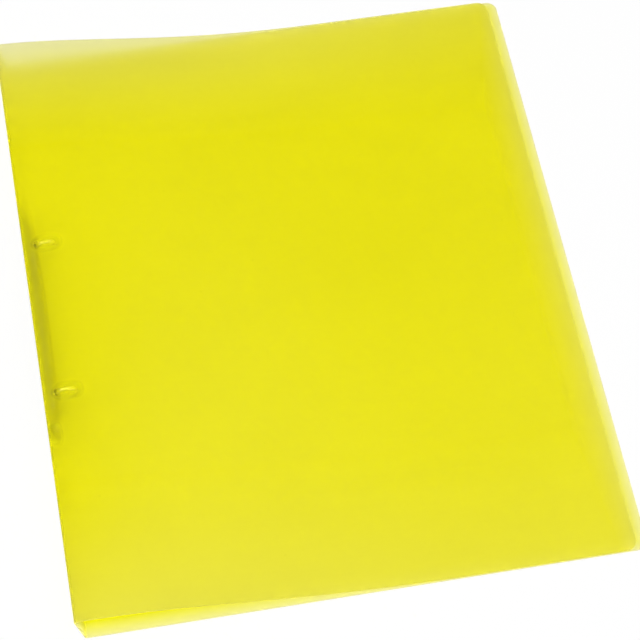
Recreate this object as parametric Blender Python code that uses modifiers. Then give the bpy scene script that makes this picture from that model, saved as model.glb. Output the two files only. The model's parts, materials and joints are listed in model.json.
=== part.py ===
"""A4 two-ring binder: one creased plastic sheet and a steel ring mechanism on its spine.

Units are metres. X runs from the spine to the fore-edge, Y along the spine, Z up.
The binder lies closed on its back cover; the origin is under the middle of its box.
"""

import math

import bmesh
import bpy

# Plastic sheet of the covers and the spine
BINDER_HEIGHT = 0.312
COVER_WIDTH = 0.249
SHEET_THICKNESS = 0.0008
CORNER_RADIUS = 0.005
WEB_THICKNESS = 0.0006
SPINE_LEAN = math.radians(12.0)

# How the front cover drapes: length lifted off the back cover, and arch at the fold,
# at the bottom edge, half way up and at the top edge
DRAPE_LENGTHS = (0.197, 0.185, 0.172)
FOLD_ARCHES = (4.7, 5.5, 3.75)

# Pressed rail of the ring mechanism
RING_END_MARGIN = 0.0065
RAIL_WIDTH = 0.0112
RAIL_HEIGHT = 0.0038
RAIL_THICKNESS = 0.0008
RAIL_SQUARENESS = 3.0
TAB_LENGTH = 0.0085
RAMP_LENGTH = 0.005
BACK_MARGIN = 0.0011
FRONT_MARGIN = 0.0059

# Toggle blades under the rail
BLADE_THICKNESS = 0.0008
PIVOT_INSET = 0.0018
PIVOT_HEIGHT = 0.00175
BLADE_LIP = 0.0003
BLADE_SPLIT = 0.0005
RING_SWING = math.radians(15.0)

# Rings
RING_SPACING = 0.080
RING_INNER_DIAMETER = 0.0078
WIRE_DIAMETER = 0.0020
RING_STANDOFF = 0.0001
FOOT_ANGLE = math.radians(39.0)
FOOT_OFFSET = 0.0022
LAP_LENGTH = 0.0024

# Tubular rivets
RIVET_SHANK_DIAMETER = 0.0038
RIVET_BORE_DIAMETER = 0.0024
RIVET_HEAD_DIAMETER = 0.0076
RIVET_HEAD_HEIGHT = 0.0010
RIVET_COLLAR_DIAMETER = 0.0058
RIVET_COLLAR_HEIGHT = 0.0007

# Clearances
FIT_GAP = 0.0003
FOLD_GAP = 0.00045
STAKE_GAP = 0.0002
SLOT_GAP = 0.0004

# Mesh fineness
COVER_COLUMNS = 40
COVER_ROWS = 14
CORNER_STEPS = 5
DRAPE_STEP = 0.0005
RAIL_COLUMNS = 15
RAMP_STEPS = 4
RAIL_MIDDLE_ROWS = 8
ROUND_SEGMENTS = 24
WEB_SEGMENTS = 12
ARC_STEPS = 22
FOOT_STEPS = 6
WIRE_BEVEL_RESOLUTION = 3
MERGE_DISTANCE = 0.00001

# Sizes that follow from the ones above
SPINE_WIDTH = BACK_MARGIN + RAIL_WIDTH + FRONT_MARGIN
SPINE_REACH = SPINE_WIDTH * math.sin(SPINE_LEAN)
SPINE_RISE = SPINE_WIDTH * math.cos(SPINE_LEAN)
PANEL_START = WEB_THICKNESS / 2 + FOLD_GAP
BACK_FOLD_X = (SPINE_REACH + WEB_THICKNESS / 2 - COVER_WIDTH) / 2
FOLD_Z = SHEET_THICKNESS / 2
RAIL_LENGTH = RING_SPACING + 2 * (RING_END_MARGIN + RAMP_LENGTH + TAB_LENGTH)
RAIL_CENTRE = BACK_MARGIN + RAIL_WIDTH / 2
RAIL_TOP = FIT_GAP + RAIL_HEIGHT
RIVET_Y = RAIL_LENGTH / 2 - TAB_LENGTH / 2
PIVOT_OFFSET = RAIL_WIDTH / 2 - PIVOT_INSET
BLADE_TILT = RING_SWING / 2
BLADE_LENGTH = RAIL_LENGTH - 2 * (TAB_LENGTH + RAMP_LENGTH + FIT_GAP)
RING_RADIUS = (RING_INNER_DIAMETER + WIRE_DIAMETER) / 2
RING_CENTRE = RAIL_TOP + RING_STANDOFF + RING_RADIUS * math.cos(FOOT_ANGLE)
RIVET_HOLE_DIAMETER = RIVET_SHANK_DIAMETER + 2 * FIT_GAP


def clear_scene():
    for old in list(bpy.data.objects):
        bpy.data.objects.remove(old, do_unlink=True)


def new_collection(name):
    collection = bpy.data.collections.new(name)
    bpy.context.scene.collection.children.link(collection)
    return collection


def finish(name, colour, roughness, metallic):
    material = bpy.data.materials.new(name)
    material.use_nodes = True
    shader = material.node_tree.nodes["Principled BSDF"]
    shader.inputs["Base Color"].default_value = (*colour, 1.0)
    shader.inputs["Roughness"].default_value = roughness
    shader.inputs["Metallic"].default_value = metallic
    return material


def add_frame(name, parent, location, tilt=0.0):
    frame = bpy.data.objects.new(name, None)
    frame.parent = parent
    frame.location = location
    frame.rotation_euler = (0.0, tilt, 0.0)
    PARTS.objects.link(frame)
    return frame


def add_piece(name, data, material, parent, location=(0.0, 0.0, 0.0)):
    piece = bpy.data.objects.new(name, data)
    piece.parent = parent
    piece.location = location
    data.materials.append(material)
    PARTS.objects.link(piece)
    return piece


def mesh_from(name, builder):
    mesh = bpy.data.meshes.new(name)
    builder.to_mesh(mesh)
    builder.free()
    mesh.shade_smooth()
    mesh.set_sharp_from_angle(angle=math.radians(35.0))
    return mesh


def block_mesh(name, low, high):
    builder = bmesh.new()
    bmesh.ops.create_cube(builder, size=1.0)
    for vertex in builder.verts:
        for axis in range(3):
            vertex.co[axis] = low[axis] + (vertex.co[axis] + 0.5) * (high[axis] - low[axis])
    return mesh_from(name, builder)


def rod_mesh(name, radius, length, axis, segments):
    builder = bmesh.new()
    bmesh.ops.create_cone(
        builder, cap_ends=True, segments=segments, radius1=radius, radius2=radius, depth=length
    )
    for vertex in builder.verts:
        x, y, z = vertex.co
        vertex.co = (z, y, -x) if axis == "X" else (x, z, -y)
    return mesh_from(name, builder)


def surface_mesh(name, columns, rows, point_at):
    builder = bmesh.new()
    bmesh.ops.create_grid(builder, x_segments=columns, y_segments=rows, size=0.5)
    for vertex in builder.verts:
        column = round((vertex.co.x + 0.5) * columns)
        row = round((vertex.co.y + 0.5) * rows)
        vertex.co = point_at(column, row)
    return mesh_from(name, builder)


def add_thickness(piece, thickness, offset):
    solidify = piece.modifiers.new("sheet thickness", "SOLIDIFY")
    solidify.thickness = thickness
    solidify.offset = offset


def cut(piece, mesh, parent, location=(0.0, 0.0, 0.0), turn=0.0):
    cutter = bpy.data.objects.new(mesh.name, mesh)
    cutter.parent = parent
    cutter.location = location
    cutter.rotation_euler = (0.0, turn, 0.0)
    cutter.display_type = "WIRE"
    cutter.hide_render = True
    CUTTERS.objects.link(cutter)
    boolean = piece.modifiers.new(mesh.name, "BOOLEAN")
    boolean.operation = "DIFFERENCE"
    boolean.solver = "EXACT"
    boolean.object = cutter


def through_three(values, share):
    # Parabola through a value at the bottom, the middle and the top of the binder
    bottom, middle, top = values
    side = 2 * share - 1
    return middle + side * (top - bottom) / 2 + side ** 2 * ((top + bottom) / 2 - middle)


def cover_stations():
    # Distances from the fold along the sheet; the last few follow the rounded corners
    straight_end = COVER_WIDTH - CORNER_RADIUS
    straight = straight_end - PANEL_START
    stations = [PANEL_START + straight * i / COVER_COLUMNS for i in range(COVER_COLUMNS + 1)]
    for step in range(1, CORNER_STEPS + 1):
        angle = math.pi / 2 * step / CORNER_STEPS
        stations.append(straight_end + CORNER_RADIUS * math.sin(angle))
    return stations


def half_height(station):
    into_corner = max(0.0, station - (COVER_WIDTH - CORNER_RADIUS))
    drop = CORNER_RADIUS - math.sqrt(max(0.0, CORNER_RADIUS ** 2 - into_corner ** 2))
    return BINDER_HEIGHT / 2 - drop


def drape_height(distance, share):
    # Height of the sheet's middle surface: an elastic strip pushed up at its fold
    rest = 1.5 * SHEET_THICKNESS + FIT_GAP
    lift = FOLD_Z + SPINE_RISE - rest
    length = through_three(DRAPE_LENGTHS, share)
    arch = through_three(FOLD_ARCHES, share)
    left = max(0.0, 1.0 - distance / length)
    return rest + lift * (arch * left ** 3 - (arch - 1.0) * left ** 4)


def draped_section(share, stations):
    # Walk along the sheet, so that its flat width is kept whatever the drape
    points = []
    travelled = 0.0
    distance = 0.0
    for station in stations:
        steps = max(1, math.ceil((station - travelled) / DRAPE_STEP))
        stride = (station - travelled) / steps
        for _ in range(steps):
            rise = drape_height(distance + DRAPE_STEP, share) - drape_height(distance, share)
            distance += stride / math.hypot(1.0, rise / DRAPE_STEP)
        travelled = station
        points.append((distance, drape_height(distance, share) - FOLD_Z - SPINE_RISE))
    return points


def make_front_cover(fold, material):
    stations = cover_stations()
    shares = [row / COVER_ROWS for row in range(COVER_ROWS + 1)]
    sections = [draped_section(share, stations) for share in shares]

    def point_at(column, row):
        distance, height = sections[row][column]
        return (distance, (2 * shares[row] - 1) * half_height(stations[column]), height)

    mesh = surface_mesh("front_cover", len(stations) - 1, COVER_ROWS, point_at)
    cover = add_piece("front_cover", mesh, material, fold)
    add_thickness(cover, SHEET_THICKNESS, 0.0)


def make_back_cover(fold, material):
    corners = cover_stations()[COVER_COLUMNS:]
    upper = [(station, half_height(station)) for station in corners]
    outline = [(PANEL_START, -BINDER_HEIGHT / 2)]
    outline += [(x, -y) for x, y in upper]
    outline += reversed(upper)
    outline.append((PANEL_START, BINDER_HEIGHT / 2))
    curve = bpy.data.curves.new("back_cover", "CURVE")
    curve.dimensions = "2D"
    curve.fill_mode = "BOTH"
    curve.extrude = SHEET_THICKNESS / 2
    spline = curve.splines.new("POLY")
    spline.points.add(len(outline) - 1)
    for point, (x, y) in zip(spline.points, outline):
        point.co = (x, y, 0.0, 1.0)
    spline.use_cyclic_u = True
    add_piece("back_cover", curve, material, fold)


def make_spine_panel(spine, rail, material):
    half = SHEET_THICKNESS / 2
    low = (-half, -BINDER_HEIGHT / 2, PANEL_START)
    high = (half, BINDER_HEIGHT / 2, SPINE_WIDTH - PANEL_START)
    panel = add_piece("spine_panel", block_mesh("spine_panel", low, high), material, spine)
    for side in (-1, 1):
        cut(panel, rivet_hole_mesh(), rail, (0.0, side * RIVET_Y, 0.0))


def make_hinge_web(name, fold, material):
    mesh = rod_mesh(name, WEB_THICKNESS / 2, BINDER_HEIGHT, "Y", WEB_SEGMENTS)
    add_piece(name, mesh, material, fold)


def rivet_hole_mesh():
    reach = 2 * (SHEET_THICKNESS + RAIL_THICKNESS + FIT_GAP)
    return rod_mesh("rivet_hole", RIVET_HOLE_DIAMETER / 2, 2 * reach, "X", ROUND_SEGMENTS)


def rail_rows():
    flat_end = RAIL_LENGTH / 2
    ramp_end = flat_end - TAB_LENGTH
    full_end = ramp_end - RAMP_LENGTH
    half = [flat_end]
    half += [ramp_end - RAMP_LENGTH * step / RAMP_STEPS for step in range(RAMP_STEPS + 1)]
    middle = [full_end * (1 - 2 * i / RAIL_MIDDLE_ROWS) for i in range(1, RAIL_MIDDLE_ROWS)]
    return [-y for y in half] + [-y for y in middle] + half[::-1]


def rail_surface(across, along):
    # Outer surface: a boxy arch that flattens into a tab at each end
    ramp = (RAIL_LENGTH / 2 - TAB_LENGTH - abs(along)) / RAMP_LENGTH
    ramp = min(1.0, max(0.0, ramp))
    ramp = ramp * ramp * (3 - 2 * ramp)
    inside = 1.0 - min(1.0, abs(2 * across / RAIL_WIDTH)) ** RAIL_SQUARENESS
    arch = RAIL_HEIGHT * inside ** (1 / RAIL_SQUARENESS)
    return FIT_GAP + RAIL_THICKNESS * (1 - ramp) + arch * ramp


def make_rail(rail, material):
    rows = rail_rows()

    def point_at(column, row):
        across = RAIL_WIDTH / 2 * math.cos(math.pi * column / RAIL_COLUMNS)
        return (rail_surface(across, rows[row]), rows[row], across)

    mesh = surface_mesh("ring_rail", RAIL_COLUMNS, len(rows) - 1, point_at)
    piece = add_piece("ring_rail", mesh, material, rail)
    add_thickness(piece, RAIL_THICKNESS, -1.0)
    for side in (-1, 1):
        cut(piece, rivet_hole_mesh(), rail, (0.0, side * RIVET_Y, 0.0))
    inner = FOOT_OFFSET - WIRE_DIAMETER / 2 - SLOT_GAP
    outer = PIVOT_OFFSET + (RAIL_TOP - PIVOT_HEIGHT) * math.sin(RING_SWING)
    for ring_y in (-RING_SPACING / 2, RING_SPACING / 2):
        width = WIRE_DIAMETER / 2 + SLOT_GAP
        for side in (-1, 1):
            edges = sorted((side * inner, side * outer))
            low = (PIVOT_HEIGHT, ring_y - width, edges[0])
            high = (2 * RAIL_TOP, ring_y + width, edges[1])
            cut(piece, block_mesh("ring_slot", low, high), rail)


def foot_place(side):
    # Where a half ring's foot crosses the blade's middle plane, and the way down it
    along = (PIVOT_OFFSET - FOOT_OFFSET) / math.cos(BLADE_TILT)
    height = PIVOT_HEIGHT - along * math.sin(BLADE_TILT)
    way = (-math.cos(BLADE_TILT), side * math.sin(BLADE_TILT))
    return (height, side * FOOT_OFFSET), way


def make_blade(name, side, rail, pivot, material):
    half = BLADE_THICKNESS / 2
    width = (PIVOT_OFFSET - BLADE_SPLIT / 2) / math.cos(BLADE_TILT)
    edges = sorted((side * BLADE_LIP, -side * width))
    low = (-half, -BLADE_LENGTH / 2, edges[0])
    high = (half, BLADE_LENGTH / 2, edges[1])
    blade = add_piece(name, block_mesh(name, low, high), material, pivot)
    blade.rotation_euler = (0.0, side * BLADE_TILT, 0.0)
    (height, across), _ = foot_place(side)
    radius = WIRE_DIAMETER / 2 + STAKE_GAP
    for ring_y in (-RING_SPACING / 2, RING_SPACING / 2):
        hole = rod_mesh("stake_hole", radius, 4 * BLADE_THICKNESS, "X", ROUND_SEGMENTS)
        cut(blade, hole, rail, (height, ring_y, across), side * BLADE_TILT)


def half_ring_path(side):
    # Height and offset of the wire's middle, from the tip round to the end of the foot
    start = -LAP_LENGTH / 2 / RING_RADIUS
    end = math.pi - FOOT_ANGLE
    path = []
    for step in range(ARC_STEPS + 1):
        angle = start + (end - start) * step / ARC_STEPS
        across = side * RING_RADIUS * math.sin(angle)
        path.append((RING_CENTRE + RING_RADIUS * math.cos(angle), across))
    (height, across), way = foot_place(side)
    first = path[-1]
    heading = (-math.sin(end), side * math.cos(end))
    last = (height - way[0] * WIRE_DIAMETER / 2, across - way[1] * WIRE_DIAMETER / 2)
    handle = math.dist(first, last) / 3
    for step in range(1, FOOT_STEPS + 1):
        share = step / FOOT_STEPS
        point = []
        for axis in range(2):
            controls = (
                first[axis],
                first[axis] + heading[axis] * handle,
                last[axis] - way[axis] * handle,
                last[axis],
            )
            point.append(bezier(controls, share))
        path.append(tuple(point))
    path.append((height + way[0] * BLADE_THICKNESS / 2, across + way[1] * BLADE_THICKNESS / 2))
    return path


def bezier(controls, share):
    left = 1.0 - share
    weights = (left ** 3, 3 * left ** 2 * share, 3 * left * share ** 2, share ** 3)
    return sum(weight * control for weight, control in zip(weights, controls))


def wire_mesh(name, points):
    curve = bpy.data.curves.new(name, "CURVE")
    curve.dimensions = "3D"
    curve.bevel_depth = WIRE_DIAMETER / 2
    curve.bevel_resolution = WIRE_BEVEL_RESOLUTION
    curve.use_fill_caps = True
    spline = curve.splines.new("POLY")
    spline.points.add(len(points) - 1)
    for point, place in zip(spline.points, points):
        point.co = (*place, 1.0)
    wire = bpy.data.objects.new(name, curve)
    PARTS.objects.link(wire)
    bpy.context.view_layer.update()
    evaluated = wire.evaluated_get(bpy.context.evaluated_depsgraph_get())
    mesh = bpy.data.meshes.new_from_object(evaluated)
    bpy.data.objects.remove(wire, do_unlink=True)
    builder = bmesh.new()
    builder.from_mesh(mesh)
    bmesh.ops.remove_doubles(builder, verts=builder.verts, dist=MERGE_DISTANCE)
    bmesh.ops.recalc_face_normals(builder, faces=builder.faces)
    bpy.data.meshes.remove(mesh)
    return mesh_from(name, builder)


def make_half_ring(name, side, ring_y, rail, pivot, material):
    points = [(height, ring_y, across) for height, across in half_ring_path(side)]
    to_rail = [-value for value in pivot.location]
    ring = add_piece(name, wire_mesh(name, points), material, pivot, to_rail)
    # The tips lap side by side: each keeps one half of the wire
    tip = RING_CENTRE + RING_RADIUS
    far = -side * (LAP_LENGTH / 2 + WIRE_DIAMETER)
    near = side * (LAP_LENGTH / 2 + 2 * FIT_GAP)
    edges = sorted((far, near))
    sides = sorted((ring_y - side * WIRE_DIAMETER, ring_y + side * FIT_GAP / 2))
    low = (tip - WIRE_DIAMETER, sides[0], edges[0])
    high = (tip + WIRE_DIAMETER, sides[1], edges[1])
    cut(ring, block_mesh("lap_cut", low, high), rail)


def make_rivet(name, rivet_y, rail, material):
    # Turned about the rivet's axis: domed head outside, shank, rolled collar inside
    outside = -SHEET_THICKNESS - FIT_GAP
    inside = RAIL_THICKNESS + 2 * FIT_GAP
    shank = RIVET_SHANK_DIAMETER / 2
    bore = RIVET_BORE_DIAMETER / 2
    collar = RIVET_COLLAR_DIAMETER / 2
    head = RIVET_HEAD_DIAMETER / 2
    profile = [
        (bore, inside + RIVET_COLLAR_HEIGHT),
        ((bore + collar) / 2, inside + RIVET_COLLAR_HEIGHT),
        (collar, inside + RIVET_COLLAR_HEIGHT / 2),
        (collar, inside),
        (shank, inside),
        (shank, outside),
        (head, outside),
        (head, outside - RIVET_HEAD_HEIGHT / 3),
        ((bore + head) / 2, outside - RIVET_HEAD_HEIGHT),
        (bore, outside - RIVET_HEAD_HEIGHT),
    ]
    builder = bmesh.new()
    corners = [builder.verts.new((radius, 0.0, height)) for radius, height in profile]
    for corner, following in zip(corners, corners[1:] + corners[:1]):
        builder.edges.new((corner, following))
    rivet = add_piece(name, mesh_from(name, builder), material, rail, (0.0, rivet_y, 0.0))
    rivet.rotation_euler = (0.0, math.pi / 2, 0.0)
    screw = rivet.modifiers.new("turned", "SCREW")
    screw.steps = ROUND_SEGMENTS
    screw.render_steps = ROUND_SEGMENTS
    screw.use_merge_vertices = True
    screw.merge_threshold = MERGE_DISTANCE


def build_binder():
    sheet = finish("translucent yellow sheet", (0.78, 0.73, 0.02), 0.38, 0.0)
    crease = finish("creased yellow web", (0.72, 0.66, 0.02), 0.30, 0.0)
    plated = finish("nickel plated wire", (0.76, 0.75, 0.72), 0.16, 1.0)
    pressed = finish("nickel plated rail", (0.70, 0.69, 0.66), 0.26, 1.0)
    zinc = finish("zinc plated blade", (0.58, 0.59, 0.60), 0.38, 1.0)
    rivet_steel = finish("bright rivet", (0.80, 0.79, 0.76), 0.20, 1.0)

    back_fold = add_frame("back_fold", None, (BACK_FOLD_X, 0.0, FOLD_Z))
    spine = add_frame("spine_frame", back_fold, (0.0, 0.0, 0.0), -SPINE_LEAN)
    rail = add_frame("rail_frame", spine, (SHEET_THICKNESS / 2, 0.0, RAIL_CENTRE))
    front_fold = add_frame("front_fold", back_fold, (-SPINE_REACH, 0.0, SPINE_RISE))

    make_back_cover(back_fold, sheet)
    make_spine_panel(spine, rail, sheet)
    make_front_cover(front_fold, sheet)
    make_hinge_web("back_hinge_web", back_fold, crease)
    make_hinge_web("front_hinge_web", front_fold, crease)
    make_rail(rail, pressed)
    for name, side in (("front", 1), ("back", -1)):
        pivot = add_frame(name + "_pivot", rail, (PIVOT_HEIGHT, 0.0, side * PIVOT_OFFSET))
        make_blade(name + "_blade", side, rail, pivot, zinc)
        for level, ring_y in (("lower", -RING_SPACING / 2), ("upper", RING_SPACING / 2)):
            make_half_ring(f"{level}_{name}_half_ring", side, ring_y, rail, pivot, plated)
    make_rivet("lower_rivet", -RIVET_Y, rail, rivet_steel)
    make_rivet("upper_rivet", RIVET_Y, rail, rivet_steel)


clear_scene()
PARTS = new_collection("two_ring_binder")
CUTTERS = new_collection("two_ring_binder_cutters")
build_binder()
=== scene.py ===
import json
import math

import bmesh
import bpy
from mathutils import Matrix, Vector


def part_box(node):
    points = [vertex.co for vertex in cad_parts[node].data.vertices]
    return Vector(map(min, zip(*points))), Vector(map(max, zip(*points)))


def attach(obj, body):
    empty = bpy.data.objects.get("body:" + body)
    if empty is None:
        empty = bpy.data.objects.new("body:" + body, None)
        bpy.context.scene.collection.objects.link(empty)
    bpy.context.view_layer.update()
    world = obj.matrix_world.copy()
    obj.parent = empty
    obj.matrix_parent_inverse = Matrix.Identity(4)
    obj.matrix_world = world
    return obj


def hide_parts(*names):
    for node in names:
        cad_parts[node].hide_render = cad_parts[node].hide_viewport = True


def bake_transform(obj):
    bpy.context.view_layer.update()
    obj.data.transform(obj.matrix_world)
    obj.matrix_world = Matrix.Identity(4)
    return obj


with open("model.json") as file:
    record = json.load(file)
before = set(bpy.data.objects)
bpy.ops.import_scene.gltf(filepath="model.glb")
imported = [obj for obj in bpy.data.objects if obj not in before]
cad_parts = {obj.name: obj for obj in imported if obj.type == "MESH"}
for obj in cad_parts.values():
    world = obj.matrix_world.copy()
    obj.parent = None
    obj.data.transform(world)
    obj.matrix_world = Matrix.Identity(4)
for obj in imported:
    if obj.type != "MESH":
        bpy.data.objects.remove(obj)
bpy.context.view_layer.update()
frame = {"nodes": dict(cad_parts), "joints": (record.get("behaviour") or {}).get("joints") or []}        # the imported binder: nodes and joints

print("frame loaded:", len(frame["nodes"]), "nodes")

# Fold lines, pivots and panels are read from the frame
joints = {joint["name"]: joint for joint in frame["joints"]}
backFold = Vector(joints["spine_fold"]["pos_m"])
frontFold = Vector(joints["front_cover_fold"]["pos_m"])
spineUp = (frontFold - backFold).normalized()
spineIn = Vector((spineUp.z, 0.0, -spineUp.x))
alongY = Vector((0.0, 1.0, 0.0))
backLow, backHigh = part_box("back_cover")
coverWidth = backHigh.x - backFold.x
halfHeight = backHigh.y

sheet = {
    "thickness": backHigh.z - backLow.z,
    "cornerRadius": 0.005,
    "creaseSide": 0.00075,      # from a fold line to where its panel starts
    "creaseThinning": 0.40,     # share of the thickness pressed away in the crease
    "creaseReach": 0.00055,
    "beadHeight": 0.00007,      # ridge raised beside the pressed crease
    "beadPlace": 0.0013,
    "beadWidth": 0.0004,
    "edgeRound": 0.00014,
    "rows": 64,
    "creaseSteps": 12,
    "coverSteps": 120,
    "crowding": 1.5,            # how much closer the steps stand beside the crease
    "cornerSteps": 6,
    "spineSteps": 24,
}
edgeSteps = 2                       # facets across each rounded edge
sharpAngle = math.radians(40.0)     # a turn that counts as an edge


# Shader node helpers

def addNode(tree, kind, **settings):
    node = tree.nodes.new(kind)
    for name, value in settings.items():
        setattr(node, name, value)
    return node


def feed(tree, source, target):
    if hasattr(source, "links"):
        tree.links.new(source, target)
    else:
        target.default_value = source


def mathNode(tree, operation, first, second=0.0, third=None):
    node = addNode(tree, "ShaderNodeMath", operation=operation)
    feed(tree, first, node.inputs[0])
    feed(tree, second, node.inputs[1])
    if third is not None:
        feed(tree, third, node.inputs[2])
    return node.outputs[0]


def mapRange(tree, value, low, high, toLow, toHigh, smooth=False):
    node = addNode(tree, "ShaderNodeMapRange")
    node.interpolation_type = "SMOOTHSTEP" if smooth else "LINEAR"
    for socket, number in zip(node.inputs, (value, low, high, toLow, toHigh)):
        feed(tree, number, socket)
    return node.outputs[0]


def mixColour(tree, amount, first, second, blend="MIX"):
    node = addNode(tree, "ShaderNodeMix", data_type="RGBA", blend_type=blend)
    feed(tree, amount, node.inputs[0])
    feed(tree, first, node.inputs[6])       # the Mix node's own sockets for colours
    feed(tree, second, node.inputs[7])
    return node.outputs[2]


def noise(tree, vector, scale, detail, roughness):
    node = addNode(tree, "ShaderNodeTexNoise")
    feed(tree, vector, node.inputs["Vector"])
    feed(tree, scale, node.inputs["Scale"])
    node.inputs["Detail"].default_value = detail
    node.inputs["Roughness"].default_value = roughness
    return node.outputs["Fac"]


def stretched(tree, vector, scale):
    node = addNode(tree, "ShaderNodeMapping")
    feed(tree, vector, node.inputs["Vector"])
    node.inputs["Scale"].default_value = scale
    return node.outputs["Vector"]


def newGroup(name, inputs, outputs):
    group = bpy.data.node_groups.new(name, "ShaderNodeTree")
    for label, kind, value in inputs:
        socket = group.interface.new_socket(name=label, in_out="INPUT", socket_type=kind)
        if value is not None:
            socket.default_value = value
    for label, kind in outputs:
        group.interface.new_socket(name=label, in_out="OUTPUT", socket_type=kind)
    entry = addNode(group, "NodeGroupInput")
    leave = addNode(group, "NodeGroupOutput")
    return group, entry.outputs, leave.inputs


def placeGroup(tree, group, **values):
    node = addNode(tree, "ShaderNodeGroup", node_tree=group)
    for label, value in values.items():
        feed(tree, value, node.inputs[label])
    return node.outputs


def newMaterial(name):
    material = bpy.data.materials.new(name)
    material.use_nodes = True
    tree = material.node_tree
    return material, tree, tree.nodes["Principled BSDF"], tree.nodes["Material Output"]


# Shared surface effects; each noise is given as scale, detail and roughness

grain = {
    "fine": (2.0, 0.6),         # its scale is each material's own
    "streakStretch": (6.0, 160.0, 6.0),
    "streak": (4.0, 3.0, 0.5),
    "cloud": (11.0, 3.0, 0.5),
    "wear": (38.0, 4.0, 0.65),
    "speckScale": 34.0,
    "speckSize": (0.012, 0.03),
    "streakHeight": 0.3,
    "streakTone": 0.5,
}


def makeSheetGrain():
    # Calendered grain, faint extrusion streaks along the sheet, cloudy pigment and a few specks
    floatKind, vectorKind = "NodeSocketFloat", "NodeSocketVector"
    group, given, out = newGroup(
        "calenderedSheetGrain",
        [("Place", vectorKind, None), ("Grain Size", floatKind, 900.0), ("Streaks", floatKind, 1.0)],
        [("Height", floatKind), ("Cloud", floatKind), ("Wear", floatKind), ("Speck", floatKind)],
    )
    fine = noise(group, given["Place"], given["Grain Size"], *grain["fine"])
    ripple = noise(group, stretched(group, given["Place"], grain["streakStretch"]), *grain["streak"])
    streak = mathNode(group, "MULTIPLY", mathNode(group, "SUBTRACT", ripple, 0.5), given["Streaks"])
    cloud = mathNode(group, "SUBTRACT", noise(group, given["Place"], *grain["cloud"]), 0.5)
    wear = noise(group, given["Place"], *grain["wear"])
    dots = addNode(group, "ShaderNodeTexVoronoi")
    feed(group, given["Place"], dots.inputs["Vector"])
    dots.inputs["Scale"].default_value = grain["speckScale"]
    speck = mapRange(group, dots.outputs["Distance"], *grain["speckSize"], 1.0, 0.0)
    feed(group, mathNode(group, "MULTIPLY_ADD", streak, grain["streakHeight"], fine), out["Height"])
    feed(group, mathNode(group, "MULTIPLY_ADD", streak, grain["streakTone"], cloud), out["Cloud"])
    feed(group, wear, out["Wear"])
    feed(group, speck, out["Speck"])
    return group


plating = {
    "lineStretch": (900.0, 35.0, 900.0),
    "lines": (4.0, 2.0, 0.5),
    "cloud": (210.0, 4.0, 0.6),
    "cloudEdge": (0.35, 0.75),
    "cloudDullness": 0.5,
    "spots": (620.0, 3.0, 0.5),
    "spotEdge": (0.60, 0.78),
    "spotDullness": 0.45,
    "spotDepth": 0.3,
    "dullRoughness": 0.18,
    "lineRoughness": 0.25,
    "bumpDepth": 0.00004,
}


def makePlatedMetal():
    # Plating over rolled or drawn steel: fine lines along the work, cloudy polish, dull spots
    floatKind, vectorKind, colourKind = "NodeSocketFloat", "NodeSocketVector", "NodeSocketColor"
    group, given, out = newGroup(
        "platedSteel",
        [
            ("Place", vectorKind, None),
            ("Bright", colourKind, (0.8, 0.8, 0.8, 1.0)),
            ("Dull", colourKind, (0.5, 0.5, 0.5, 1.0)),
            ("Polish", floatKind, 0.2),
            ("Lines", floatKind, 0.4),
        ],
        [("Colour", colourKind), ("Roughness", floatKind), ("Height", floatKind)],
    )
    lines = noise(group, stretched(group, given["Place"], plating["lineStretch"]), *plating["lines"])
    cloud = noise(group, given["Place"], *plating["cloud"])
    cloud = mapRange(group, cloud, *plating["cloudEdge"], 0.0, plating["cloudDullness"])
    spots = noise(group, given["Place"], *plating["spots"])
    spots = mapRange(group, spots, *plating["spotEdge"], 0.0, 1.0, True)
    dullness = mathNode(group, "MULTIPLY_ADD", spots, plating["spotDullness"], cloud)
    feed(group, mixColour(group, dullness, given["Bright"], given["Dull"]), out["Colour"])
    lineShare = mathNode(group, "MULTIPLY", mathNode(group, "SUBTRACT", lines, 0.5), given["Lines"])
    rough = mathNode(group, "MULTIPLY_ADD", dullness, plating["dullRoughness"], given["Polish"])
    rough = mathNode(group, "MULTIPLY_ADD", lineShare, plating["lineRoughness"], rough)
    feed(group, rough, out["Roughness"])
    feed(group, mathNode(group, "MULTIPLY_ADD", spots, -plating["spotDepth"], lineShare), out["Height"])
    return group


sheetGrain = makeSheetGrain()
platedSteel = makePlatedMetal()


def paintedEdgeLight(tree, flat, look):
    # Painted light: the base colour turns paler where light would leak in past the ends of the sheet,
    # most of it near the spine, and past its free edge
    endGap = mathNode(tree, "SUBTRACT", halfHeight, mathNode(tree, "ABSOLUTE", flat["Y"]))
    nearEnd = mapRange(tree, endGap, 0.0, look["endReach"], 1.0, 0.0)
    nearEnd = mathNode(tree, "POWER", nearEnd, look["edgeFade"])
    fromFold = mapRange(tree, flat["X"], 0.0, coverWidth, *look["endPale"])
    nearEnd = mathNode(tree, "MULTIPLY", nearEnd, fromFold)
    balance = mapRange(tree, flat["Y"], -halfHeight, halfHeight, *look["endBalance"])
    nearEnd = mathNode(tree, "MULTIPLY", nearEnd, balance)
    sideGap = mathNode(tree, "SUBTRACT", coverWidth, flat["X"])
    nearSide = mapRange(tree, sideGap, 0.0, look["sideReach"], 1.0, 0.0)
    nearSide = mathNode(tree, "POWER", nearSide, look["edgeFade"])
    nearSide = mathNode(tree, "MULTIPLY", nearSide, look["sidePale"])
    return mathNode(tree, "MAXIMUM", nearEnd, nearSide)


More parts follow.
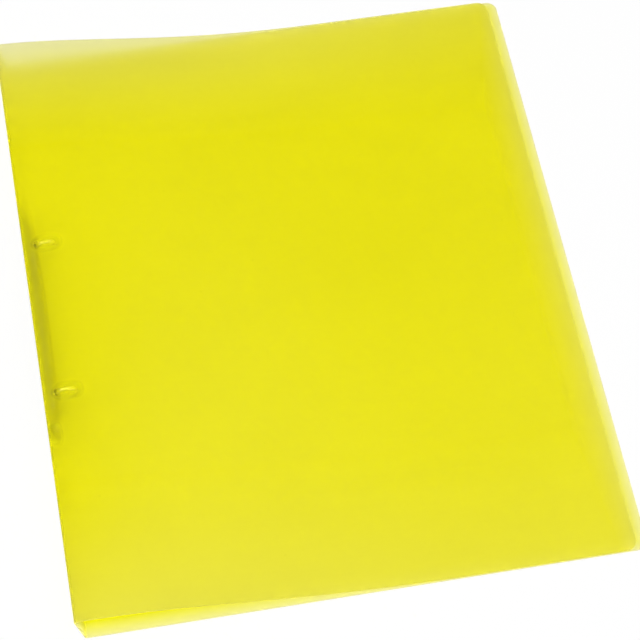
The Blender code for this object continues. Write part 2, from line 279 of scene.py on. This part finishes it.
def rubbedAlpha(tree, flat, look):
    # Spots where the rings, the rail and a rivet press on the sheet and rub it clear
    kept = 1.0
    for x, y, halfLength, halfWidth, clear in look["rubMarks"]:
        across = mathNode(tree, "DIVIDE", mathNode(tree, "SUBTRACT", flat["X"], x), halfLength)
        across = mathNode(tree, "POWER", mathNode(tree, "ABSOLUTE", across), look["rubSquareness"])
        along = mathNode(tree, "DIVIDE", mathNode(tree, "SUBTRACT", flat["Y"], y), halfWidth)
        gap = mathNode(tree, "MULTIPLY_ADD", along, along, across)
        left = mapRange(tree, gap, *look["rubFade"], 1.0 - clear, 1.0, True)
        kept = mathNode(tree, "MINIMUM", left, kept)
    return kept


def makeSheetMaterial(name, look):
    material, tree, shader, output = newMaterial(name)
    place = addNode(tree, "ShaderNodeTexCoord").outputs["Object"]
    surface = placeGroup(
        tree, sheetGrain, Place=place, **{"Grain Size": look["grainSize"], "Streaks": look["streaks"]}
    )
    flatPlace = addNode(tree, "ShaderNodeAttribute", attribute_name="flatPlace")
    flat = addNode(tree, "ShaderNodeSeparateXYZ")
    feed(tree, flatPlace.outputs["Vector"], flat.inputs[0])
    paintedLeakLight = paintedEdgeLight(tree, flat.outputs, look)
    # Painted light: the deep yellow is mixed towards the pale colour near the edges
    colour = mixColour(tree, paintedLeakLight, look["deep"], look["pale"])
    shade = mathNode(tree, "MULTIPLY_ADD", surface["Cloud"], look["cloud"], 1.0)
    shade = mathNode(tree, "MULTIPLY_ADD", surface["Speck"], -look["speck"], shade)
    tone = addNode(tree, "ShaderNodeCombineColor")
    for socket in tone.inputs:
        feed(tree, shade, socket)
    colour = mixColour(tree, 1.0, colour, tone.outputs[0], "MULTIPLY")
    feed(tree, colour, shader.inputs["Base Color"])
    rough = mapRange(tree, surface["Wear"], *look["wearSpan"], *look["roughness"])
    feed(tree, rough, shader.inputs["Roughness"])
    if look["rubMarks"]:
        feed(tree, rubbedAlpha(tree, flat.outputs, look), shader.inputs["Alpha"])
    bump = addNode(tree, "ShaderNodeBump")
    bump.inputs["Strength"].default_value = look["bump"]
    bump.inputs["Distance"].default_value = look["bumpDepth"]
    feed(tree, surface["Height"], bump.inputs["Height"])
    feed(tree, bump.outputs["Normal"], shader.inputs["Normal"])
    shader.inputs["Transmission Weight"].default_value = look["seeThrough"]
    shader.inputs["IOR"].default_value = look["ior"]
    shader.inputs["Specular IOR Level"].default_value = 0.0     # the coat alone gives the gloss
    shader.inputs["Coat Weight"].default_value = look["gloss"]
    shader.inputs["Coat Roughness"].default_value = look["glossRoughness"]
    shader.inputs["Coat IOR"].default_value = look["glossIor"]
    # Some light passes unscattered, and lamps reach what lies behind the sheet
    clear = addNode(tree, "ShaderNodeBsdfTransparent")
    clear.inputs["Color"].default_value = look["clearTint"]
    body = addNode(tree, "ShaderNodeMixShader")
    body.inputs[0].default_value = look["clearShare"]
    feed(tree, shader.outputs[0], body.inputs[1])
    feed(tree, clear.outputs[0], body.inputs[2])
    passed = addNode(tree, "ShaderNodeBsdfTransparent")
    passed.inputs["Color"].default_value = look["passed"]
    path = addNode(tree, "ShaderNodeLightPath")
    mix = addNode(tree, "ShaderNodeMixShader")
    feed(tree, path.outputs["Is Shadow Ray"], mix.inputs[0])
    feed(tree, body.outputs[0], mix.inputs[1])
    feed(tree, passed.outputs[0], mix.inputs[2])
    feed(tree, mix.outputs[0], output.inputs["Surface"])
    return material


def makeMetalMaterial(name, look):
    material, tree, shader, output = newMaterial(name)
    place = addNode(tree, "ShaderNodeTexCoord").outputs["Object"]
    steel = placeGroup(
        tree, platedSteel, Place=place, Bright=look["bright"], Dull=look["dull"],
        Polish=look["polish"], Lines=look["lines"],
    )
    feed(tree, steel["Colour"], shader.inputs["Base Color"])
    feed(tree, steel["Roughness"], shader.inputs["Roughness"])
    shader.inputs["Metallic"].default_value = 1.0
    bump = addNode(tree, "ShaderNodeBump")
    bump.inputs["Strength"].default_value = look["bump"]
    bump.inputs["Distance"].default_value = plating["bumpDepth"]
    feed(tree, steel["Height"], bump.inputs["Height"])
    feed(tree, bump.outputs["Normal"], shader.inputs["Normal"])
    return material


coverLook = {
    "deep": (0.827, 0.809, 0.002, 1.0),
    # painted light: the pale colour and the reaches, shares and balance below brighten the edges where
    # light leaks in
    "pale": (0.79, 0.775, 0.53, 1.0),
    "endReach": 0.065,
    "endPale": (1.0, 0.38),     # at the fold and at the free edge
    "endBalance": (0.45, 1.0),  # at the bottom and at the top
    "sideReach": 0.015,
    "sidePale": 0.60,
    "edgeFade": 1.65,
    "cloud": 0.05,
    "speck": 0.06,
    "grainSize": 1100.0,
    "streaks": 1.0,
    "wearSpan": (0.3, 0.75),    # noise values at the two roughnesses
    "roughness": (0.82, 0.88),
    "bump": 0.05,
    "bumpDepth": 0.00005,
    "seeThrough": 0.86,
    "ior": 1.20,                # weak and very rough: a milky sheet
    "gloss": 0.55,
    "glossRoughness": 0.22,
    "glossIor": 1.55,
    "clearShare": 0.28,         # of what each face lets by unscattered
    "clearTint": (0.96, 0.94, 0.50, 1.0),
    "passed": (0.90, 0.88, 0.50, 1.0),
    "rubSquareness": 4.0,
    "rubFade": (0.1, 1.5),      # where a mark starts to fade and where it ends
    "rubMarks": (               # place from the fold and along it, half length, half width, clearness
        (0.0102, 0.0358, 0.0080, 0.0044, 0.53),
        (0.0102, -0.0442, 0.0080, 0.0044, 0.53),
        (0.0030, -0.0650, 0.0034, 0.0060, 0.48),
        (-0.0004, -0.0020, 0.0074, 0.0640, 0.46),
    ),
}
backLook = dict(
    coverLook,
    deep=(0.79, 0.775, 0.003, 1.0),
    # painted light: paler rims on the back cover and spine where light leaks in past the edges
    pale=(0.86, 0.84, 0.54, 1.0),
    endReach=0.007,
    endPale=(1.0, 1.0),
    endBalance=(1.0, 1.0),
    sideReach=0.007,
    sidePale=1.0,
    edgeFade=1.2,
    clearTint=(0.96, 0.94, 0.30, 1.0),
    rubMarks=(),
)
coverMaterial = makeSheetMaterial("satin yellow cover", coverLook)
backMaterial = makeSheetMaterial("satin yellow back", backLook)

wireMaterial = makeMetalMaterial("nickel plated wire", {
    "bright": (0.94, 0.93, 0.91, 1.0), "dull": (0.80, 0.78, 0.75, 1.0),
    "polish": 0.20, "lines": 0.25, "bump": 0.12,
})
# Painted shade: the rail's nickel is given a much darker colour than the wire's, standing in for the
# shade inside the closed binder
shadedRailMaterial = makeMetalMaterial("nickel plated pressing in painted shade", {
    "bright": (0.60, 0.59, 0.57, 1.0), "dull": (0.46, 0.45, 0.43, 1.0),
    "polish": 0.32, "lines": 0.5, "bump": 0.2,
})
# Zinc plating is greyer than nickel, and the strip's colour is also darkened for the shade inside the
# binder: partly painted shade
bladeMaterial = makeMetalMaterial("zinc plated strip in painted shade", {
    "bright": (0.60, 0.61, 0.62, 1.0), "dull": (0.42, 0.43, 0.45, 1.0),
    "polish": 0.30, "lines": 0.8, "bump": 0.3,
})
rivetMaterial = makeMetalMaterial("bright turned rivet", {
    "bright": (0.92, 0.91, 0.88, 1.0), "dull": (0.78, 0.76, 0.72, 1.0),
    "polish": 0.16, "lines": 0.2, "bump": 0.1,
})
print("materials made")


# Plastic sheet

def creaseThickness(reach):
    # Thinned in the pressed crease, with a small bead beside it
    press = sheet["creaseThinning"] * math.exp(-(reach / sheet["creaseReach"]) ** 2)
    bead = sheet["beadHeight"] * math.exp(-((reach - sheet["beadPlace"]) / sheet["beadWidth"]) ** 2)
    return sheet["thickness"] * (1.0 - press) + bead


def creasePath(start, fold, end):
    # Mid line of the sheet round a fold, from the spine's side to the cover's
    points = []
    for step in range(sheet["creaseSteps"]):
        t = step / sheet["creaseSteps"]
        points.append(start * (1 - t) ** 2 + fold * (2 * t * (1 - t)) + end * t ** 2)
    return points


def coverStations():
    # Distances along the sheet from its fold, closer together beside the crease and in the corners
    start, corner = sheet["creaseSide"], coverWidth - sheet["cornerRadius"]
    stations = []
    for step in range(sheet["coverSteps"] + 1):
        share = step / sheet["coverSteps"]
        stations.append(start + (corner - start) * share ** sheet["crowding"])
    for step in range(1, sheet["cornerSteps"] + 1):
        angle = math.pi / 2 * step / sheet["cornerSteps"]
        stations.append(corner + sheet["cornerRadius"] * math.sin(angle))
    return stations


def heightAt(station):
    radius = sheet["cornerRadius"]
    into = max(0.0, station - (coverWidth - radius))
    return halfHeight - radius + math.sqrt(max(0.0, radius ** 2 - into ** 2))


def sheetSolid(name, sections, reaches, halfHeights):
    # Closed sheet round a mid surface: sections[row][column] holds its points
    rows, columns = len(sections), len(sections[0])
    builder = bmesh.new()
    flatLayer = builder.verts.layers.float_vector.new("flatPlace")
    weightLayer = builder.edges.layers.float.new("bevel_weight_edge")
    faces = {1: [], -1: []}
    for row, section in enumerate(sections):
        share = row / (rows - 1)
        for side in (1, -1):
            line = []
            for column, point in enumerate(section):
                before = section[max(0, column - 1)]
                after = section[min(columns - 1, column + 1)]
                tangent = (after - before).normalized()
                normal = Vector((-tangent.z, 0.0, tangent.x))
                half = creaseThickness(reaches[column]) / 2
                y = (2 * share - 1) * halfHeights[column]
                vertex = builder.verts.new(point + normal * half * side + alongY * y)
                vertex[flatLayer] = (reaches[column], y, 0.0)
                line.append(vertex)
            faces[side].append(line)
    for side in (1, -1):
        grid = faces[side]
        for row in range(rows - 1):
            for column in range(columns - 1):
                corners = [grid[row][column], grid[row][column + 1],
                           grid[row + 1][column + 1], grid[row + 1][column]]
                builder.faces.new(corners if side == 1 else corners[::-1])
    rim = [(0, column) for column in range(columns)]
    rim += [(row, columns - 1) for row in range(1, rows)]
    rim += [(rows - 1, column) for column in range(columns - 2, -1, -1)]
    rim += [(row, 0) for row in range(rows - 2, 0, -1)]
    for (rowA, columnA), (rowB, columnB) in zip(rim, rim[1:] + rim[:1]):
        top = faces[1][rowA][columnA], faces[1][rowB][columnB]
        low = faces[-1][rowA][columnA], faces[-1][rowB][columnB]
        builder.faces.new((top[1], top[0], low[0], low[1]))
        seam = columnA == 0 and columnB == 0
        for pair in (top, low):
            builder.edges.get(pair)[weightLayer] = 0.0 if seam else 1.0
    bmesh.ops.recalc_face_normals(builder, faces=builder.faces)
    mesh = bpy.data.meshes.new(name)
    builder.to_mesh(mesh)
    builder.free()
    mesh.shade_smooth()
    piece = bpy.data.objects.new(name, mesh)
    bpy.context.scene.collection.objects.link(piece)
    bevel = piece.modifiers.new("die cut edge", "BEVEL")
    bevel.limit_method = "WEIGHT"
    bevel.width = sheet["edgeRound"]
    bevel.segments = edgeSteps
    bevel.harden_normals = True
    return piece


frontDrape = {
    "lengths": (0.197, 0.185, 0.172),   # lifted length at the bottom, the middle and the top
    "arches": (4.7, 5.5, 3.75),
    "restGap": 0.0003,
    "step": 0.0005,
}


def throughThree(values, share):
    bottom, middle, top = values
    side = 2 * share - 1
    return middle + side * (top - bottom) / 2 + side ** 2 * ((top + bottom) / 2 - middle)


def drapeHeight(distance, share):
    rest = backHigh.z + frontDrape["restGap"] + sheet["thickness"] / 2
    left = max(0.0, 1.0 - distance / throughThree(frontDrape["lengths"], share))
    arch = throughThree(frontDrape["arches"], share)
    return rest + (frontFold.z - rest) * (arch * left ** 3 - (arch - 1.0) * left ** 4)


def drapedSection(share, stations):
    # Walks along the sheet, so that its flat width is kept
    points, travelled, distance = [], 0.0, 0.0
    for station in stations:
        steps = max(1, math.ceil((station - travelled) / frontDrape["step"]))
        stride = (station - travelled) / steps
        for _ in range(steps):
            rise = drapeHeight(distance + frontDrape["step"], share) - drapeHeight(distance, share)
            distance += stride / math.hypot(1.0, rise / frontDrape["step"])
        travelled = station
        points.append(Vector((frontFold.x + distance, 0.0, drapeHeight(distance, share))))
    return points


def creaseReaches():
    side = sheet["creaseSide"]
    return [abs(2 * step / sheet["creaseSteps"] - 1) * side for step in range(sheet["creaseSteps"])]


def makeFrontCover():
    stations = coverStations()
    reaches = creaseReaches() + stations
    heights = [halfHeight] * sheet["creaseSteps"] + [heightAt(station) for station in stations]
    start = frontFold - spineUp * sheet["creaseSide"]
    sections = []
    for row in range(sheet["rows"] + 1):
        cover = drapedSection(row / sheet["rows"], stations)
        sections.append(creasePath(start, frontFold, cover[0]) + cover)
    piece = sheetSolid("front_cover_sheet", sections, reaches, heights)
    piece.data.materials.append(coverMaterial)
    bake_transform(piece)
    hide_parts("front_cover", "front_hinge_web")


def makeBackCover():
    stations = coverStations()
    reaches = creaseReaches() + stations
    heights = [halfHeight] * sheet["creaseSteps"] + [heightAt(station) for station in stations]
    start = backFold + spineUp * sheet["creaseSide"]
    cover = [backFold + Vector((station, 0.0, 0.0)) for station in stations]
    section = creasePath(start, backFold, cover[0]) + cover
    piece = sheetSolid("back_cover_sheet", [section] * (sheet["rows"] + 1), reaches, heights)
    piece.data.materials.append(backMaterial)
    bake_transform(piece)
    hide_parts("back_cover", "back_hinge_web")


makeFrontCover()
makeBackCover()
print("covers made")

# Ring mechanism, in heights off the spine's inner face, places along it and offsets across the rail

frontPivot = Vector(joints["front_rings_swing"]["pos_m"])
backPivot = Vector(joints["back_rings_swing"]["pos_m"])
pivotMiddle = (frontPivot + backPivot) / 2
pivotOffset = (frontPivot - backPivot).length / 2
pivotHeight = (pivotMiddle - backFold).dot(spineIn) - sheet["thickness"] / 2
railMiddle = pivotMiddle - spineIn * pivotHeight

rail = {
    "length": 0.120,
    "width": 0.0112,
    "height": 0.0038,
    "thickness": 0.0008,
    "squareness": 3.0,
    "gap": 0.0003,              # between the rail and the sheet
    "tab": 0.0085,
    "ramp": 0.005,
    "groove": 0.00022,          # pressed line along the top, between the rings
    "grooveWidth": 0.0011,
    "grooveEnd": 0.031,
    "grooveFade": 0.003,
    "edgeRound": 0.00018,
    "slotInner": 0.0008,
    "slotOuter": 0.0044,
    "slotHalf": 0.0014,
    "slotCorner": 0.4,          # share of the slot's half length
    "slotSteps": 6,
    "columns": 31,
    "rowStep": 0.00125,
}

ring = {
    "spacing": 0.080,
    "innerDiameter": 0.0078,
    "wire": 0.0020,
    "standoff": 0.0001,
    "footAngle": math.radians(39.0),
    "footOffset": 0.0022,
    "lap": 0.0024,
    "lapGap": 0.0003,
    "nose": 0.0006,             # rounded end of each lapped tip
    "blunt": 0.45,              # share of the wire's thickness left at the very tip
    "lapEase": 1.5,             # how many lap gaps a tip takes to thin
    "edgeRound": 0.00006,
    "bladeTilt": math.radians(7.5),
    "bladeThickness": 0.0008,
    "arcSteps": 72,
    "footSteps": 18,
    "roundSteps": 28,
}

rivet = {
    "place": rail["length"] / 2 - rail["tab"] / 2,
    "shank": 0.0038,
    "bore": 0.0024,
    "head": 0.0076,
    "headHeight": 0.0010,
    "crown": 1.25,              # flat middle of the head, in bores
    "dish": 0.8,                # share of the head's height at the bore
    "collar": 0.0058,
    "collarHeight": 0.0007,
    "hole": 0.0044,
    "holeSteps": 40,
    "edgeRound": 0.00006,
    "arcSteps": 8,
    "roundSteps": 56,
}


def railPoint(height, along, across):
    return railMiddle + spineIn * height + alongY * along + spineUp * across


def addPiece(name, builder, material):
    bmesh.ops.recalc_face_normals(builder, faces=builder.faces)
    mesh = bpy.data.meshes.new(name)
    builder.to_mesh(mesh)
    builder.free()
    mesh.shade_smooth()
    piece = bpy.data.objects.new(name, mesh)
    bpy.context.scene.collection.objects.link(piece)
    mesh.materials.append(material)
    return piece


def roundEdges(piece, width):
    bevel = piece.modifiers.new("rounded edges", "BEVEL")
    bevel.limit_method = "ANGLE"
    bevel.angle_limit = sharpAngle
    bevel.width = width
    bevel.segments = edgeSteps
    bevel.harden_normals = True


def carve(piece, builders):
    # Cuts each tool out of the piece and keeps the plain mesh
    tools = []
    for builder in builders:
        bmesh.ops.recalc_face_normals(builder, faces=builder.faces)
        mesh = bpy.data.meshes.new("tool")
        builder.to_mesh(mesh)
        builder.free()
        tool = bpy.data.objects.new("tool", mesh)
        bpy.context.scene.collection.objects.link(tool)
        cutter = piece.modifiers.new("carve", "BOOLEAN")
        cutter.solver = "EXACT"
        cutter.object = tool
        tools.append(tool)
    bpy.context.view_layer.update()
    carved = piece.evaluated_get(bpy.context.evaluated_depsgraph_get())
    piece.data = bpy.data.meshes.new_from_object(carved)
    piece.modifiers.clear()
    for tool in tools:
        bpy.data.objects.remove(tool)


def prism(outline, low, high):
    # Upright tool between two heights over an outline of (along, across) points
    builder = bmesh.new()
    rims = []
    for height in (low, high):
        rims.append([builder.verts.new(railPoint(height, *place)) for place in outline])
    for index in range(len(outline)):
        following = (index + 1) % len(outline)
        builder.faces.new((rims[0][index], rims[0][following], rims[1][following], rims[1][index]))
    builder.faces.new(rims[0])
    builder.faces.new(rims[1])
    return builder


def circle(along, across, radius, steps):
    turns = [2 * math.pi * step / steps for step in range(steps)]
    return [(along + radius * math.cos(turn), across + radius * math.sin(turn)) for turn in turns]


def rivetHoles():
    # Tools for the two rivet holes, through the rail's tabs and the spine
    reach, radius = 2 * rail["height"], rivet["hole"] / 2
    tools = []
    for along in (-rivet["place"], rivet["place"]):
        tools.append(prism(circle(along, 0.0, radius, rivet["holeSteps"]), -reach, reach))
    return tools


def makeSpinePanel():
    width = (frontFold - backFold).length
    side, steps = sheet["creaseSide"], sheet["spineSteps"]
    places = [side + (width - 2 * side) * step / steps for step in range(steps + 1)]
    section = [backFold + spineUp * place for place in places]
    reaches = [min(place, width - place) for place in places]
    piece = sheetSolid(
        "spine_sheet", [section] * (sheet["rows"] + 1), reaches, [halfHeight] * len(places)
    )
    piece.data.materials.append(backMaterial)
    carve(piece, rivetHoles())
    piece.data.set_sharp_from_angle(angle=sharpAngle)
    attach(piece, "spine")
    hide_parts("spine_panel")


def slotOutline(along, side):
    # Slot with rounded corners, lying across the rail
    half = rail["slotHalf"]
    corner = rail["slotCorner"] * half
    inner, outer = rail["slotInner"], rail["slotOuter"]
    outline = []
    for quarter, (x, y) in enumerate(((1, 1), (-1, 1), (-1, -1), (1, -1))):
        for step in range(rail["slotSteps"] + 1):
            turn = math.pi / 2 * (quarter + step / rail["slotSteps"])
            middle = (inner + outer) / 2 + y * ((outer - inner) / 2 - corner)
            across = middle + corner * math.sin(turn)
            outline.append((along + x * (half - corner) + corner * math.cos(turn), side * across))
    return outline


def smoothStep(value):
    value = min(1.0, max(0.0, value))
    return value * value * (3 - 2 * value)


def railTop(across, along):
    ramp = smoothStep((rail["length"] / 2 - rail["tab"] - abs(along)) / rail["ramp"])
    inside = 1.0 - min(1.0, abs(2 * across / rail["width"])) ** rail["squareness"]
    arch = rail["height"] * inside ** (1 / rail["squareness"])
    groove = rail["groove"] * smoothStep((rail["grooveEnd"] - abs(along)) / rail["grooveFade"])
    groove *= smoothStep(1.0 - abs(across) / rail["grooveWidth"])
    return rail["gap"] + rail["thickness"] * (1 - ramp) + arch * ramp - groove


def makeRail():
    rowCount = round(rail["length"] / rail["rowStep"])
    columns = rail["columns"]
    builder = bmesh.new()
    outer, inner = [], []
    for row in range(rowCount + 1):
        along = rail["length"] * (row / rowCount - 0.5)
        profile = []
        for column in range(columns + 1):
            across = rail["width"] / 2 * math.cos(math.pi * column / columns)
            profile.append(Vector((railTop(across, along), across)))
        lineOut, lineIn = [], []
        for column, place in enumerate(profile):
            before = profile[max(0, column - 1)]
            after = profile[min(columns, column + 1)]
            tangent = (after - before).normalized()
            under = place + Vector((tangent.y, -tangent.x)) * rail["thickness"]
            lineOut.append(builder.verts.new(railPoint(place.x, along, place.y)))
            lineIn.append(builder.verts.new(railPoint(max(rail["gap"], under.x), along, under.y)))
        outer.append(lineOut)
        inner.append(lineIn)
    for grid in (outer, inner):
        for row in range(rowCount):
            for column in range(columns):
                builder.faces.new((grid[row][column], grid[row][column + 1],
                                   grid[row + 1][column + 1], grid[row + 1][column]))
    for row in range(rowCount):
        for column in (0, columns):
            builder.faces.new((outer[row][column], outer[row + 1][column],
                               inner[row + 1][column], inner[row][column]))
    for row in (0, rowCount):
        for column in range(columns):
            builder.faces.new((outer[row][column], outer[row][column + 1],
                               inner[row][column + 1], inner[row][column]))
    piece = addPiece("ring_rail_pressing", builder, shadedRailMaterial)
    reach = 2 * rail["height"]
    tools = rivetHoles()
    for along in (-ring["spacing"] / 2, ring["spacing"] / 2):
        tools += [prism(slotOutline(along, side), pivotHeight, reach) for side in (-1, 1)]
    carve(piece, tools)
    roundEdges(piece, rail["edgeRound"])
    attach(piece, "spine")
    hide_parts("ring_rail")


def footPlace(side):
    # Where a half ring's foot crosses its blade, and the way down through it
    reach = (pivotOffset - ring["footOffset"]) / math.cos(ring["bladeTilt"])
    foot = Vector((pivotHeight - reach * math.sin(ring["bladeTilt"]), side * ring["footOffset"]))
    return foot, Vector((-math.cos(ring["bladeTilt"]), side * math.sin(ring["bladeTilt"])))


def halfRingPath(side):
    # Middle of the wire from the lapped tip round to the end of the foot
    radius = (ring["innerDiameter"] + ring["wire"]) / 2
    end = math.pi - ring["footAngle"]
    centre = rail["gap"] + rail["height"] + ring["standoff"] - radius * math.cos(end)
    start = -ring["lap"] / 2 / radius
    path = []
    for step in range(ring["arcSteps"] + 1):
        angle = start + (end - start) * step / ring["arcSteps"]
        path.append(Vector((centre + radius * math.cos(angle), side * radius * math.sin(angle))))
    foot, way = footPlace(side)
    first, heading = path[-1], Vector((-math.sin(end), side * math.cos(end)))
    last = foot - way * ring["wire"] / 2
    handle = (last - first).length / 3
    controls = (first, first + heading * handle, last - way * handle, last)
    for step in range(1, ring["footSteps"] + 1):
        share = step / ring["footSteps"]
        left = 1 - share
        weights = (left ** 3, 3 * left ** 2 * share, 3 * left * share ** 2, share ** 3)
        path.append(sum((control * weight for control, weight in zip(controls, weights)), Vector((0, 0))))
    path.append(foot + way * ring["bladeThickness"] / 2)
    return path


def makeHalfRing(name, side, along, body):
    path = halfRingPath(side)
    radius = ring["wire"] / 2
    keep = side * ring["lapGap"] / 2
    lapEnd = ring["lap"] + 2 * ring["lapGap"]
    ease = ring["lapEase"] * ring["lapGap"]
    builder = bmesh.new()
    loops, travelled = [], 0.0
    for index, place in enumerate(path):
        before = path[max(0, index - 1)]
        after = path[min(len(path) - 1, index + 1)]
        travelled += (place - before).length
        tangent = (after - before).normalized()
        outward = Vector((tangent.y, -tangent.x))
        rounding = math.sqrt(min(1.0, travelled / ring["nose"]))
        nose = min(1.0, ring["blunt"] + (1.0 - ring["blunt"]) * rounding)
        lapped = smoothStep((lapEnd - travelled) / ease)
        loop = []
        for step in range(ring["roundSteps"]):
            turn = 2 * math.pi * step / ring["roundSteps"]
            sideways = radius * math.sin(turn)
            halved = max(sideways, keep) if side > 0 else min(sideways, keep)
            sideways += (halved - sideways) * lapped
            sideways = keep + (sideways - keep) * nose if lapped > 0.5 else sideways
            offset = place + outward * radius * math.cos(turn) * nose
            loop.append(builder.verts.new(railPoint(offset.x, along + sideways, offset.y)))
        loops.append(loop)
    for first, second in zip(loops, loops[1:]):
        for step in range(ring["roundSteps"]):
            following = (step + 1) % ring["roundSteps"]
            builder.faces.new((first[step], first[following], second[following], second[step]))
    builder.faces.new(loops[0])
    builder.faces.new(loops[-1])
    piece = addPiece(name + "_wire", builder, wireMaterial)
    roundEdges(piece, ring["edgeRound"])
    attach(piece, body)
    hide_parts(name)


def arcPoints(centre, radii, start, end):
    points = []
    for step in range(rivet["arcSteps"] + 1):
        angle = math.radians(start + (end - start) * step / rivet["arcSteps"])
        offset = radii[0] * math.cos(angle), radii[1] * math.sin(angle)
        points.append((centre[0] + offset[0], centre[1] + offset[1]))
    return points


def makeRivet(name, along):
    # Turned: rolled collar over the rail's tab, shank, domed head outside the spine
    outside = -sheet["thickness"] - rail["gap"]
    inside = rail["thickness"] + 2 * rail["gap"]
    bore, collar, head = rivet["bore"] / 2, rivet["collar"] / 2, rivet["head"] / 2
    roll = (collar - bore) / 2
    crown = bore * rivet["crown"]
    profile = arcPoints((bore + roll, inside), (roll, rivet["collarHeight"]), 180.0, 0.0)
    profile += [(rivet["shank"] / 2, inside), (rivet["shank"] / 2, outside)]
    profile += arcPoints((crown, outside), (head - crown, -rivet["headHeight"]), 0.0, 90.0)
    profile += [(bore, outside - rivet["headHeight"] * rivet["dish"])]
    builder = bmesh.new()
    rings = []
    for radius, height in profile:
        places = circle(along, 0.0, radius, rivet["roundSteps"])
        rings.append([builder.verts.new(railPoint(height, *place)) for place in places])
    for first, second in zip(rings, rings[1:] + rings[:1]):
        for step in range(rivet["roundSteps"]):
            following = (step + 1) % rivet["roundSteps"]
            builder.faces.new((first[step], first[following], second[following], second[step]))
    piece = addPiece(name + "_turned", builder, rivetMaterial)
    roundEdges(piece, rivet["edgeRound"])
    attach(piece, "spine")
    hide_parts(name)


makeSpinePanel()
makeRail()
for label, along in (("lower", -ring["spacing"] / 2), ("upper", ring["spacing"] / 2)):
    makeHalfRing(label + "_front_half_ring", 1, along, "front_rings")
    makeHalfRing(label + "_back_half_ring", -1, along, "back_rings")
makeRivet("lower_rivet", -rivet["place"])
makeRivet("upper_rivet", rivet["place"])
for name in ("front_blade", "back_blade"):
    blade = frame["nodes"][name].data
    blade.materials.clear()
    blade.materials.append(bladeMaterial)
print("mechanism made")

# Stage

stage = {
    "floorSize": 6.0,
    "floorDrop": 0.0003,
    "floorColour": (0.94, 0.94, 0.94, 1.0),
    "floorRoughness": 0.9,
    "floorWhite": 0.92,         # how much of the floor's plain white the camera sees
    "dome": 1.30,               # bright tent overhead
    "room": 0.07,               # dark room behind it
    "tentSlant": 0.35,
    "tentEdge": (0.26, 0.50),
    "tentFront": (-0.35, 0.10),
    "frontShare": 0.40,         # how bright the tent's front is
    "cameraPlace": (-0.110975, -0.559698, 0.911704),
    "cameraTurn": (31.382, -1.0432, -10.3203),
    "lens": 128.925,
    "sensor": 36.0,
    "clipStart": 0.01,
    "softboxes": {              # place, aim, size and power
        "main": ((-0.10, -0.45, 1.20), (-0.05, 0.0, 0.0), (1.6, 0.03), 5.0),
        "side": ((-1.00, -0.20, 0.95), (0.0, 0.0, 0.0), (0.7, 0.7), 6.0),
    },
}


def seenDirectly(tree):
    # Camera rays and rays through the sheet see the plain white background
    path = addNode(tree, "ShaderNodeLightPath")
    return mathNode(tree, "MAXIMUM", path.outputs["Is Camera Ray"], path.outputs["Is Transmission Ray"])


def makeFloor():
    mesh = bpy.data.meshes.new("floor")
    builder = bmesh.new()
    bmesh.ops.create_grid(builder, x_segments=1, y_segments=1, size=stage["floorSize"] / 2)
    builder.to_mesh(mesh)
    builder.free()
    floor = bpy.data.objects.new("floor", mesh)
    floor.location.z = -stage["floorDrop"]
    bpy.context.scene.collection.objects.link(floor)
    material, tree, shader, output = newMaterial("pale floor")
    shader.inputs["Base Color"].default_value = stage["floorColour"]
    shader.inputs["Roughness"].default_value = stage["floorRoughness"]
    white = addNode(tree, "ShaderNodeEmission")
    mix = addNode(tree, "ShaderNodeMixShader")
    glossy = addNode(tree, "ShaderNodeLightPath").outputs["Is Glossy Ray"]
    seen = mathNode(tree, "MAXIMUM", seenDirectly(tree), glossy)
    feed(tree, mathNode(tree, "MULTIPLY", seen, stage["floorWhite"]), mix.inputs[0])
    feed(tree, shader.outputs[0], mix.inputs[1])
    feed(tree, white.outputs[0], mix.inputs[2])
    feed(tree, mix.outputs[0], output.inputs["Surface"])
    mesh.materials.append(material)


def makeWorld():
    # A bright tent that ends behind the binder, so that the gloss fades towards the top edge
    world = bpy.data.worlds.new("studio")
    bpy.context.scene.world = world
    world.use_nodes = True
    tree = world.node_tree
    background = tree.nodes["Background"]
    background.inputs["Color"].default_value = (1.0, 1.0, 1.0, 1.0)
    direction = addNode(tree, "ShaderNodeSeparateXYZ")
    feed(tree, addNode(tree, "ShaderNodeTexCoord").outputs["Generated"], direction.inputs[0])
    behind = mathNode(
        tree, "MULTIPLY_ADD", direction.outputs["X"], -stage["tentSlant"], direction.outputs["Y"]
    )
    tent = mapRange(tree, behind, *stage["tentEdge"], stage["dome"], stage["room"], True)
    front = mapRange(tree, direction.outputs["Y"], *stage["tentFront"], stage["frontShare"], 1.0, True)
    tent = mathNode(tree, "MULTIPLY", tent, front)
    feed(tree, mapRange(tree, seenDirectly(tree), 0.0, 1.0, tent, 1.0), background.inputs["Strength"])


def makeSoftbox(name, place, aim, size, power):
    lamp = bpy.data.lights.new(name, "AREA")
    lamp.shape = "RECTANGLE"
    lamp.size, lamp.size_y = size
    lamp.energy = power
    softbox = bpy.data.objects.new(name, lamp)
    softbox.location = place
    softbox.rotation_euler = (Vector(aim) - Vector(place)).to_track_quat("-Z", "Y").to_euler()
    softbox.visible_transmission = False    # its light passes the sheet by the shadow rays instead
    bpy.context.scene.collection.objects.link(softbox)


def makeCamera():
    camera = bpy.data.objects.new("camera", bpy.data.cameras.new("camera"))
    camera.location = stage["cameraPlace"]
    camera.rotation_euler = [math.radians(angle) for angle in stage["cameraTurn"]]
    camera.data.lens = stage["lens"]
    camera.data.sensor_width = stage["sensor"]
    camera.data.clip_start = stage["clipStart"]
    bpy.context.scene.collection.objects.link(camera)
    bpy.context.scene.camera = camera


makeFloor()
makeWorld()
for label, settings in stage["softboxes"].items():
    makeSoftbox(label, *settings)
makeCamera()
bpy.context.scene.view_settings.view_transform = "Standard"
print("stage made")
